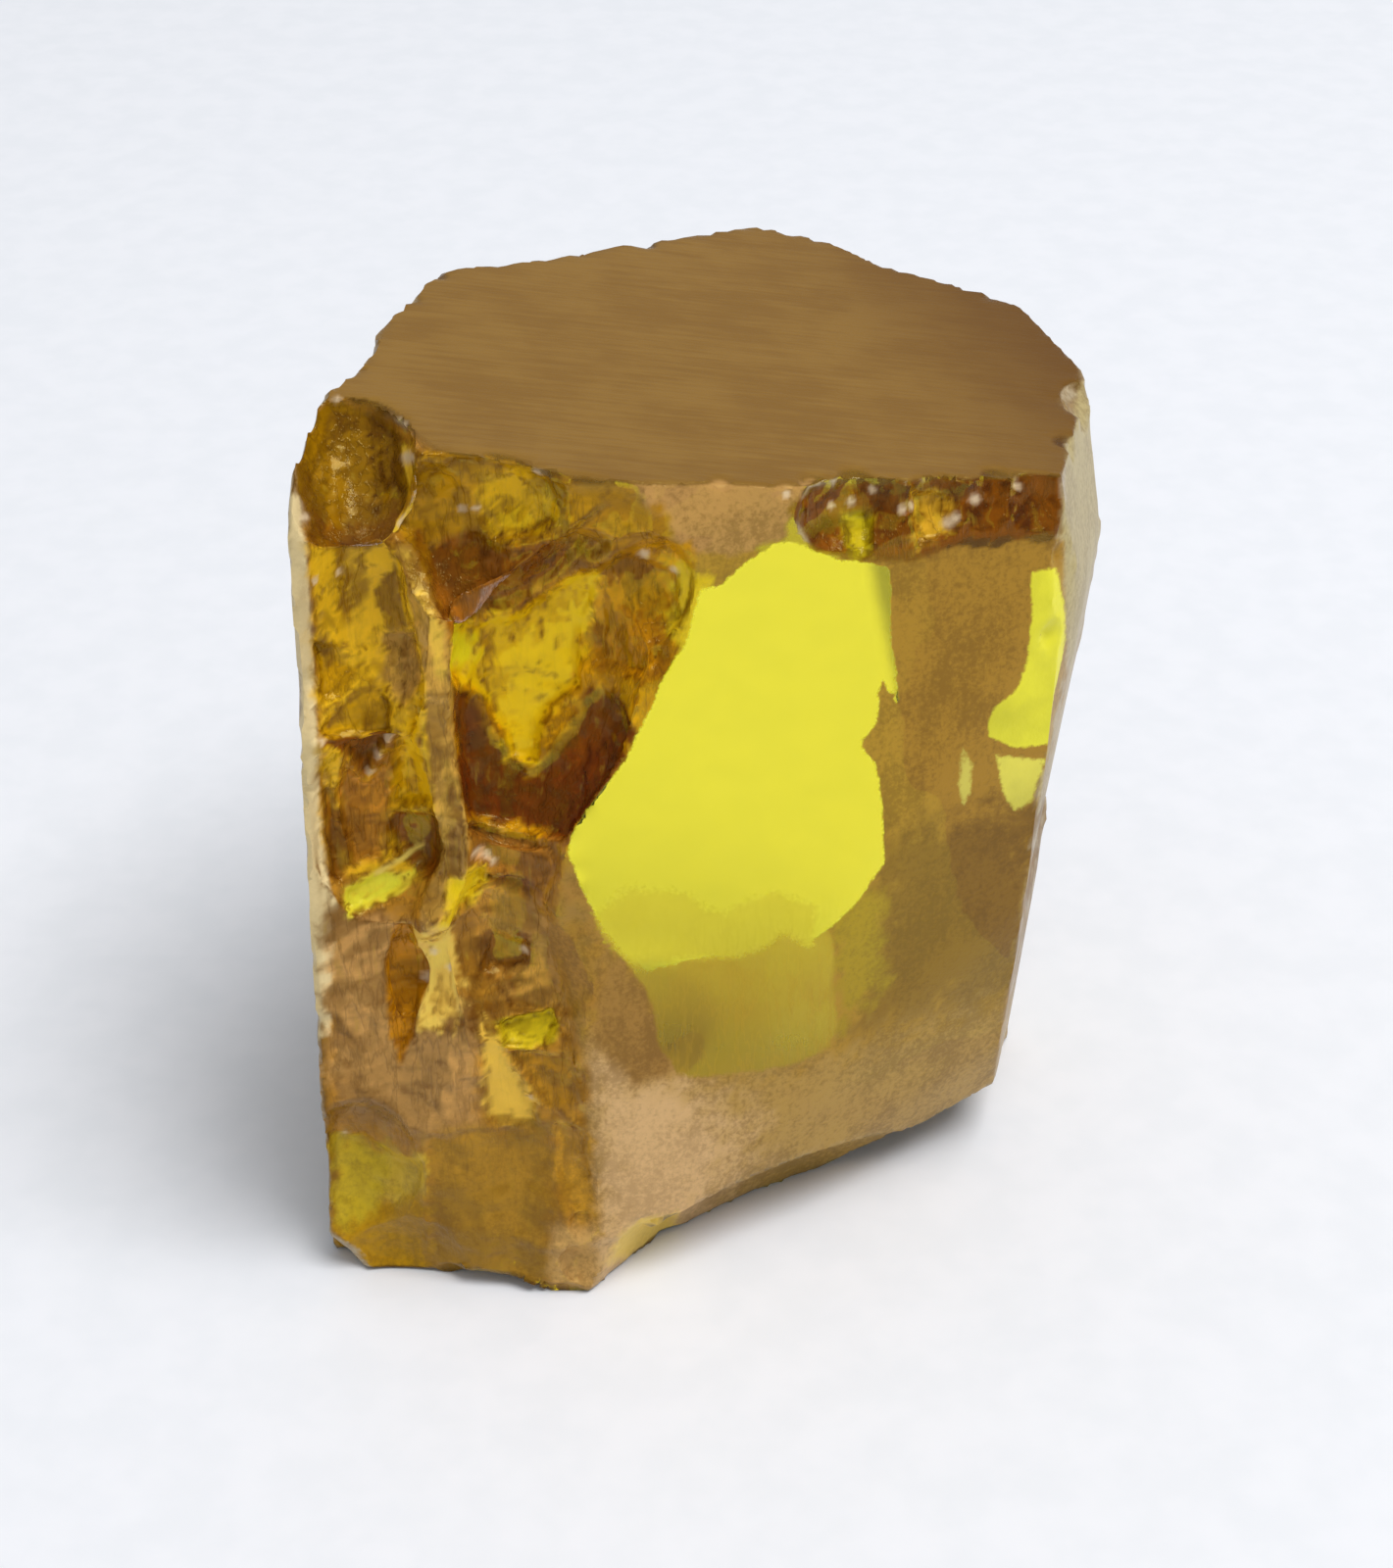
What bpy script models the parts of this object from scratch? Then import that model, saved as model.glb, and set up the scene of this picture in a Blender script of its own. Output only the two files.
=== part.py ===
"""Rough zircon: a broken, amber-yellow prism with a ground top, standing on its flat base.

One solid. It starts as a block that is cleaved by planes, then flakes are knocked off it:
each flake scar is the bite of an ellipsoid whose middle lies outside the stone.
"""

import math

import bmesh
import bpy
from mathutils import Matrix, Vector, noise

MM = 0.001

# Driving dimensions in millimetres, X to the right, Y to the back, Z up.
# A face is a point on it and the way it faces.
BLOCK = 60.0
TOP_CORNER = Vector((-3.6, -9.0, 27.6))
TOP_NORMAL = Vector((0.119, 0.059, 0.991))
FRONT_FOOT = Vector((-3.5, -10.57, 0.0))
FRONT_NORMAL = Vector((0.282, -0.957, 0.066))
BAND_NORMAL = Vector((0.511, -0.806, -0.298))
LEFT_FOOT = Vector((-10.9, -9.85, 0.0))
LEFT_FRONT_NORMAL = Vector((-0.100, -0.993, 0.068))
BACK_MIDDLE = Vector((1.2, 11.9, 12.0))
BACK_NORMAL = Vector((-0.282, 0.957, -0.045))
EDGE_POINT = Vector((10.06, -4.80, 25.7))
EDGE_NORMAL = Vector((0.80, -0.60, 0.045))
LOW_EDGE_POINT = Vector((9.75, -5.60, 12.0))
LOW_EDGE_NORMAL = Vector((0.93, -0.33, -0.055))
SOLE_POINT = Vector((9.43, -3.17, 2.2))
SOLE_NORMAL = Vector((0.435, -0.46, -0.774))

# The front face bends into its tucked-in lower band over two narrow faces
BEND_SHARES = (0.33, 0.67)
BEND_BITE = 0.055

# Walls round the ground top: two plan points at a height, anticlockwise from above, and the
# lean outward going down, in degrees
RIM_HEIGHT = 26.0
WALLS = {
    "left front": ((-11.02, -5.80), (-10.85, -9.80), 1.3),
    "left middle": ((-8.85, 1.75), (-11.00, -6.00), 1.5),
    "left back": ((-7.90, 5.60), (-8.90, 1.75), 3.0),
    "back left": ((2.10, 12.10), (-7.90, 5.75), 17.0),
    "back crest": ((3.60, 11.75), (2.00, 12.05), 3.0),
    "back right": ((8.60, 9.05), (3.40, 11.85), 5.0),
    "back corner": ((10.10, 7.60), (8.40, 9.15), 2.0),
    "right back": ((11.35, 3.70), (10.05, 7.70), 4.0),
    "right bulge": ((10.02, -4.60), (11.50, 2.40), 11.0),
    "right shoulder": ((11.45, 2.20), (11.33, 4.00), 9.0),
}
TUCK_HEIGHT = 20.5
TUCKS = {
    "right tuck": ((10.85, -4.60), (12.50, 2.40), -4.6),
    "right back tuck": ((12.55, 2.20), (11.90, 8.00), -5.0),
}

# How far outside the face the middle of a flake's ellipsoid lies, in flake depths
BULB = 1.6
ROUND_STEPS = 24
CUTTER_WAVE = 0.05
CUTTER_WAVE_SCALE = 0.9

# Flakes: middle of the scar on the face, the way it faces, width, height, depth and roll in degrees
FLAKES = {
    # Rim of the ground top, on the left
    "corner scoop": ((-9.32, -6.35, 26.75), (-0.02, -0.55, 0.83), 2.7, 5.4, 0.80, 0),
    "corner tip": ((-10.86, -7.72, 28.10), (-0.55, -0.45, 0.70), 0.9, 0.9, 0.40, 0),
    "left rim scoop": ((-10.22, -2.25, 26.60), (-0.94, 0.27, 0.18), 6.2, 5.4, 0.72, 0),
    "upper scar": ((-5.80, -8.40, 25.80), (-0.12, -0.93, 0.34), 6.6, 5.4, 1.20, 10),
    "upper scar right": ((-2.90, -8.50, 26.10), (0.15, -0.92, 0.36), 4.2, 3.6, 0.65, -12),
    # Front-left edge and the shattered left face
    "great scoop": ((-4.20, -9.25, 21.30), (0.06, -0.995, 0.05), 5.9, 11.8, 2.20, -20),
    "great scoop top": ((-1.80, -8.45, 23.90), (0.12, -0.98, 0.16), 4.6, 3.8, 0.90, 24),
    "left scoop high": ((-9.15, -8.50, 22.40), (-0.20, -0.97, 0.12), 3.9, 7.8, 1.15, -4),
    "left scoop low": ((-8.95, -8.95, 16.60), (-0.16, -0.98, 0.02), 4.1, 7.2, 1.00, 8),
    "blade hollow": ((-7.15, -9.00, 18.20), (-0.05, -0.99, 0.05), 1.6, 8.5, 0.45, -3),
    "lens": ((-8.60, -9.45, 10.90), (-0.10, -0.99, 0.07), 1.1, 5.0, 0.60, 2),
    "heel scoop": ((-5.35, -9.75, 11.60), (0.00, -0.99, 0.10), 4.4, 7.0, 0.90, 10),
    "knee scar": ((-8.60, -9.50, 10.20), (-0.16, -0.98, 0.07), 5.4, 9.0, 0.40, -6),
    "shin scar": ((-6.20, -10.00, 5.80), (-0.02, -0.99, 0.08), 5.4, 8.4, 0.45, -12),
    "foot chip": ((-9.95, -9.85, 4.20), (-0.42, -0.90, 0.10), 3.8, 6.4, 0.95, -10),
    "foot chip low": ((-8.90, -10.10, 1.50), (-0.15, -0.97, -0.18), 4.0, 3.6, 0.55, 14),
    "foot corner": ((-11.10, -9.70, 0.60), (-0.78, -0.32, -0.54), 2.4, 2.8, 0.55, 0),
    "foot notch": ((-7.00, -9.95, 0.05), (0.00, -0.75, -0.66), 4.2, 1.8, 0.50, 0),
    # Front face: chipped upper rim, rolled bevel, arched lower rim
    "rolled bevel": ((0.60, -7.90, 26.15), (0.20, -0.88, 0.43), 5.6, 3.0, 0.35, 0),
    "rim chip 1": ((4.35, -6.75, 25.45), (0.28, -0.80, 0.53), 3.7, 2.7, 0.95, 0),
    "rim chip 2": ((6.70, -6.05, 25.30), (0.30, -0.82, 0.49), 2.2, 2.6, 0.70, 8),
    "rim chip 3": ((8.10, -5.65, 25.20), (0.25, -0.85, 0.46), 1.9, 2.3, 0.60, -10),
    "rim chip 4": ((9.45, -5.20, 25.00), (0.40, -0.80, 0.44), 2.1, 2.5, 0.60, 6),
    "arch": ((1.90, -7.90, 1.00), (0.42, -0.62, -0.66), 13.6, 5.4, 1.50, 0),
    "low rim chip": ((-1.90, -9.90, 1.60), (0.35, -0.80, -0.48), 2.2, 1.6, 0.45, -20),
    "toe": ((-4.10, -10.75, 0.20), (-0.10, -0.72, -0.68), 3.4, 1.4, 0.35, 0),
    # Right side
    "right rim chip": ((11.20, 1.10, 25.00), (0.85, -0.10, 0.52), 2.4, 1.6, 0.45, 0),
    "right hollow": ((11.65, -0.20, 11.60), (0.98, -0.18, -0.06), 12.5, 9.0, 1.05, 24),
    "right back scar": ((11.35, 5.20, 13.20), (0.96, 0.28, -0.06), 8.4, 15.0, 0.70, -12),
    "right edge chip": ((10.25, -5.35, 15.20), (0.85, -0.52, 0.00), 1.8, 3.2, 0.40, 10),
    "right heel": ((10.20, -0.60, 0.70), (0.75, -0.35, -0.55), 6.0, 4.0, 0.80, 0),
    # Back, which is broken in broad shallow scars round one flat cleavage
    "back shell": ((7.60, 9.90, 9.20), (0.50, 0.86, 0.02), 9.0, 14.0, 1.30, -14),
    "back shell high": ((7.20, 10.40, 21.20), (0.46, 0.86, 0.20), 9.4, 8.6, 0.90, 24),
    "back shell low": ((9.80, 7.20, 2.40), (0.70, 0.68, -0.20), 10.5, 8.5, 0.85, 10),
    "back bevel scar": ((-4.60, 9.10, 22.20), (-0.50, 0.80, 0.33), 12.5, 8.2, 0.50, 22),
    "back ledge": ((-6.40, 9.20, 2.60), (-0.34, 0.93, -0.10), 11.0, 6.5, 0.75, -8),
    "back foot": ((1.60, 12.10, 0.90), (-0.15, 0.80, -0.58), 11.0, 4.6, 0.90, 0),
    # Left side
    "left hollow": ((-9.45, 0.90, 14.60), (-0.963, 0.267, 0.03), 12.0, 17.0, 0.95, 24),
    "left hollow high": ((-9.10, 2.20, 22.60), (-0.95, 0.28, 0.14), 9.2, 8.4, 0.55, -18),
    "left heel": ((-8.85, 4.20, 3.20), (-0.95, 0.30, -0.06), 12.5, 10.5, 0.95, -15),
    "left shin": ((-10.90, -4.80, 6.00), (-0.98, 0.14, 0.02), 7.5, 13.0, 0.35, 8),
}

# Crumbled edges: first point, last point, the way they face, how many bites and their size
CRUMBLES = {
    "front edge low": ((-3.45, -10.05, 8.20), (-3.35, -10.40, 1.60), (-0.15, -0.98, 0.00), 7, 1.20),
    "left edge low": ((-3.50, -9.60, 15.30), (-3.50, -9.95, 9.60), (0.10, -0.99, 0.00), 6, 1.05),
    "top rim left": ((-7.60, -7.30, 27.90), (-1.90, -8.05, 27.25), (0.00, -0.70, 0.71), 7, 0.95),
    "right edge": ((10.20, -4.95, 23.40), (9.90, -5.65, 8.40), (0.80, -0.60, 0.00), 8, 0.90),
    "top rim back": ((-6.60, 6.60, 26.90), (0.60, 11.30, 25.85), (-0.50, 0.60, 0.62), 6, 0.90),
    "top rim right": ((3.90, 11.70, 25.45), (9.90, 8.00, 25.00), (0.50, 0.60, 0.62), 6, 0.70),
}
CRUMBLE_DEPTH = 0.30
CRUMBLE_STEPS = 8
CRUMBLE_LENGTH = 1.25
CRUMBLE_ROLL = 40.0
# A bite's size and place swing with the sine of this many radians a bite
CRUMBLE_BEAT = 2.4
SIZE_SWING = 0.35


def new_collection(name):
    """A collection linked to the scene."""
    collection = bpy.data.collections.new(name)
    bpy.context.scene.collection.children.link(collection)
    return collection


def stone_material():
    """Amber-yellow glassy stone under a tan bloom."""
    material = bpy.data.materials.new("zircon_amber")
    material.use_nodes = True
    shader = material.node_tree.nodes["Principled BSDF"]
    shader.inputs["Base Color"].default_value = (0.42, 0.26, 0.05, 1.0)
    shader.inputs["Roughness"].default_value = 0.30
    shader.inputs["Metallic"].default_value = 0.0
    shader.inputs["IOR"].default_value = 1.95
    material.diffuse_color = (0.42, 0.26, 0.05, 1.0)
    return material


def mesh_object(name, bm, collection):
    """Object of a bmesh whose own units are millimetres."""
    bmesh.ops.recalc_face_normals(bm, faces=bm.faces)
    if bm.calc_volume(signed=True) < 0.0:
        bmesh.ops.reverse_faces(bm, faces=bm.faces)
    mesh = bpy.data.meshes.new(name)
    bm.to_mesh(mesh)
    bm.free()
    item = bpy.data.objects.new(name, mesh)
    item.scale = (MM, MM, MM)
    collection.objects.link(item)
    return item


def cleave(bm, point, normal):
    """Take away all that lies beyond a plane and close the cut."""
    cut = bmesh.ops.bisect_plane(
        bm, geom=bm.verts[:] + bm.edges[:] + bm.faces[:],
        plane_co=point, plane_no=normal, clear_outer=True,
    )
    rim = [item for item in cut["geom_cut"] if isinstance(item, bmesh.types.BMEdge)]
    if rim:
        bmesh.ops.contextual_create(bm, geom=rim)


def wall_plane(first, last, height, lean):
    """Plane of a wall that leans outward going down, by its two plan points at a height."""
    start = Vector((first[0], first[1], height))
    along = Vector((last[0] - first[0], last[1] - first[1], 0.0)).normalized()
    outward = Vector((along.y, -along.x, 0.0))
    tilt = math.radians(lean)
    return start, outward * math.cos(tilt) + Vector((0.0, 0.0, math.sin(tilt)))


def bend_plane(share):
    """Plane that rounds the bend between the front face and its tucked-in lower band."""
    crease = FRONT_NORMAL.cross(BAND_NORMAL).normalized()
    return FRONT_FOOT, FRONT_NORMAL.lerp(BAND_NORMAL, share).normalized() + crease * BEND_BITE


def cleaved_block():
    """The prism before any flake is knocked off it."""
    bm = bmesh.new()
    bmesh.ops.create_cube(bm, size=BLOCK)
    cleave(bm, Vector((0.0, 0.0, 0.0)), Vector((0.0, 0.0, -1.0)))
    cleave(bm, TOP_CORNER, TOP_NORMAL)
    cleave(bm, FRONT_FOOT, FRONT_NORMAL)
    cleave(bm, FRONT_FOOT, BAND_NORMAL)
    for share in BEND_SHARES:
        cleave(bm, *bend_plane(share))
    cleave(bm, LEFT_FOOT, LEFT_FRONT_NORMAL)
    cleave(bm, BACK_MIDDLE, BACK_NORMAL)
    cleave(bm, EDGE_POINT, EDGE_NORMAL)
    cleave(bm, LOW_EDGE_POINT, LOW_EDGE_NORMAL)
    cleave(bm, SOLE_POINT, SOLE_NORMAL)
    for first, last, lean in WALLS.values():
        cleave(bm, *wall_plane(first, last, RIM_HEIGHT, lean))
    for first, last, lean in TUCKS.values():
        cleave(bm, *wall_plane(first, last, TUCK_HEIGHT, lean))
    return bm


def flake_axes(facing, roll):
    """Axes of a flake scar: across it, up it and out of the stone."""
    out = Vector(facing).normalized()
    across = Vector((0.0, 0.0, 1.0)).cross(out).normalized()
    turn = Matrix.Rotation(math.radians(roll), 3, out)
    across = turn @ across
    return across, out.cross(across), out


def flake_cutter(name, middle, facing, size, roll, steps, collection):
    """A wavy ellipsoid that bites a scar of the given width, height and depth."""
    width, height, depth = size
    reach = depth * (1.0 + BULB)
    spread = math.sqrt(1.0 - (BULB / (1.0 + BULB)) ** 2)
    across, up, out = flake_axes(facing, roll)
    centre = Vector(middle) + out * (depth * BULB)
    bm = bmesh.new()
    bmesh.ops.create_uvsphere(bm, u_segments=steps, v_segments=steps // 2, radius=1.0)
    for vert in bm.verts:
        ball = vert.co * (1.0 + CUTTER_WAVE * noise.noise((vert.co + centre) / CUTTER_WAVE_SCALE))
        sideways = across * (ball.x * width / 2 / spread) + up * (ball.y * height / 2 / spread)
        vert.co = centre + sideways + out * (ball.z * reach)
    cutter = mesh_object("cutter " + name, bm, collection)
    cutter.hide_render = True
    cutter.display_type = "WIRE"
    return cutter


def knock_off(stone, cutter):
    """Take a cutter's bite out of the stone."""
    bite = stone.modifiers.new(cutter.name, "BOOLEAN")
    bite.operation = "DIFFERENCE"
    bite.solver = "EXACT"
    bite.object = cutter


def crumble_edge(stone, name, first, last, facing, count, size, collection):
    """A row of small bites of uneven size along an edge."""
    start = Vector(first)
    step = (Vector(last) - start) / (count - 1)
    for index in range(count):
        swing = math.sin(CRUMBLE_BEAT * index)
        growth = 1.0 + SIZE_SWING * swing
        place = start + step * (index + SIZE_SWING * swing)
        bite = (size * growth, size * growth * CRUMBLE_LENGTH, CRUMBLE_DEPTH * growth)
        label = "%s %d" % (name, index)
        roll = CRUMBLE_ROLL * swing
        knock_off(stone, flake_cutter(label, place, facing, bite, roll, CRUMBLE_STEPS, collection))


def recentre(items, stone):
    """Move everything so that the stone's box stands on the origin."""
    bpy.context.view_layer.update()
    evaluated = stone.evaluated_get(bpy.context.evaluated_depsgraph_get())
    corners = [Vector(corner) for corner in evaluated.bound_box]
    middle = sum(corners, Vector()) / len(corners)
    floor = min(corner.z for corner in corners)
    for item in items:
        item.location = Vector((-middle.x, -middle.y, -floor)) * MM


def build():
    """Make the stone and its cutters."""
    for item in list(bpy.data.objects):
        bpy.data.objects.remove(item)
    parts = new_collection("rough_zircon")
    cutters = new_collection("cutters")
    stone = mesh_object("zircon", cleaved_block(), parts)
    stone.data.materials.append(stone_material())
    for name, (middle, facing, width, height, depth, roll) in FLAKES.items():
        size = (width, height, depth)
        knock_off(stone, flake_cutter(name, middle, facing, size, roll, ROUND_STEPS, cutters))
    for name, (first, last, facing, count, size) in CRUMBLES.items():
        crumble_edge(stone, name, first, last, facing, count, size, cutters)
    recentre([stone] + list(cutters.objects), stone)


build()
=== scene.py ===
"""A rough, broken zircon: a ground top, a flat see-through front and a shattered left side."""
import math

import bmesh
import bpy
import numpy as np
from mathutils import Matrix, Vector, noise
from mathutils.bvhtree import BVHTree
from mathutils.kdtree import KDTree


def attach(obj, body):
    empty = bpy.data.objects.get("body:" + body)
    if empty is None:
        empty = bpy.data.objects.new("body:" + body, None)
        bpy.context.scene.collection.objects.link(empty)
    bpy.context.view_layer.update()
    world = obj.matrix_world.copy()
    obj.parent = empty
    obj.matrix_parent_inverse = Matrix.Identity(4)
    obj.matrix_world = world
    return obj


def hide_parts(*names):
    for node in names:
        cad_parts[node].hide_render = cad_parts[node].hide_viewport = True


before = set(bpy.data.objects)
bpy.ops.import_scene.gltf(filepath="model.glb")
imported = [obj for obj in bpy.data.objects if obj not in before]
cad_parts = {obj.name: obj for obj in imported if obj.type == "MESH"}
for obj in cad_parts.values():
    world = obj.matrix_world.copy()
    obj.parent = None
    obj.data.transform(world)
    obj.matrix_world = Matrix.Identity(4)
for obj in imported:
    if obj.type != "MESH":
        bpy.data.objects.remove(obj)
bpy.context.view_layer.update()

# The camera, at the picture's viewing angle. Lengths are in millimetres until the stone's mesh is done.
MM = 0.001
PICTURE = (1421, 1600)
LENS = 67.5
SENSOR = 36.0
PITCH = math.radians(35.0)
REACH = 93.0
LOOKED_AT = Vector((-0.416, -1.064, 12.1))
SIGHT = Vector((0.0, math.cos(PITCH), -math.sin(PITCH)))
EYE = LOOKED_AT - SIGHT * REACH
PIXELS_PER_MM = LENS / SENSOR * PICTURE[1] / REACH

# The stone's flat faces: a point on each and its outward direction.
TOP_PLANE = (Vector((-4.02, -10.06, 27.6)), Vector((0.119, 0.059, 0.991)))
BACK_PLANE = (Vector((0.78, 10.84, 12.0)), Vector((-0.282, 0.957, -0.045)))

# The fine mesh: its cell, the bends that stay sharp, and how far the rest is evened.
CELL = 0.235
WELD = 1e-7
FINER_MARGIN = 6.0
FACET_ANGLE = math.radians(22.0)
FACET_EASE = 0.6
CREASE_ANGLE = math.radians(38.0)
SMOOTH_SHARE = 0.5
SMOOTH_ROUNDS = 40

# Needles of a thin wall: the bends that make one, how far each spreads, and how much it is evened.
NEEDLE_ANGLES = (math.radians(100.0), math.radians(125.0))
NEEDLE_PASSES = 3
NEEDLE_REACH = 2
NEEDLE_FADE = 0.9
NEEDLE_SHARE = 0.6
NEEDLE_ROUNDS = 8

# The fine relief of the breaks, in mm. Layers of roughness: height, scale and seed.
ROUGHNESS = ((0.10, 0.55, 3.1), (0.05, 1.6, 8.4))
RELIEF_EDGE = (-0.3, 0.4)
SEED = 7
FACE_CHIPS = 90
FACE_CHIP_RADII = (0.5, 2.4)
FACE_CHIP_SLOPES = (0.06, 0.13)
RIM_CHIPS = 90
RIM_ANGLE = math.radians(35.0)
RIM_CHIP_LEAST = 0.2
RIM_CHIP_SPREAD = 0.5
RIM_CHIP_SLOPE = 0.25
SHALLOW_END = 0.25
SUNK_EDGE = (-0.06, 0.22)
SUNK_WOBBLE = 0.12
HOLLOW_DEPTH = 0.40
HOLLOW_NEAR = (0.0, 0.5)
HOLLOW_FAR = (1.0, 3.0)
RIPPLE_EDGE = (-0.05, 0.35)
RIPPLE_WANDER = 3.0
RAY_HEIGHT = 2.2
WINDOW_MARGIN = 0.4
THICK_WALL = 9.0
WALL_SHARE = 0.35
LEAST_CUT = 0.02

# How far a surface has to turn to the eye before a mark, or a window, lies on it.
TURN_GAIN = 8
TURN_LEAST = 0.03
WINDOW_TURN = 0.2


def srgb(red, green, blue):
    """A colour as the eye gives it, 0 to 255, in the linear numbers that shaders take."""
    parts = [c / 255.0 for c in (red, green, blue)]
    return tuple(p / 12.92 if p <= 0.04045 else ((p + 0.055) / 1.055) ** 2.4 for p in parts) + (1.0,)


# Outlines of the stone's zones, in pixels of the picture plane.
FRONT_FACE = [(545, 488), (650, 498), (700, 552), (760, 562), (830, 572), (985, 556), (1088, 548),
              (1088, 690), (1060, 800), (1040, 1010), (1025, 1090), (850, 1170), (690, 1255), (598, 1340),
              (600, 1200), (560, 960), (577, 868), (640, 770), (686, 690), (700, 660), (709, 600),
              (670, 560)]
SHATTERED = [(300, 430), (345, 400), (460, 460), (560, 485), (680, 545), (712, 590), (700, 660),
             (640, 770), (577, 868), (560, 960), (600, 1100), (600, 1340), (340, 1330), (322, 900),
             (312, 600)]
TOP_RIM = [(640, 470), (820, 480), (1090, 470), (1090, 570), (985, 580), (830, 590), (760, 590),
           (640, 570)]

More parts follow.
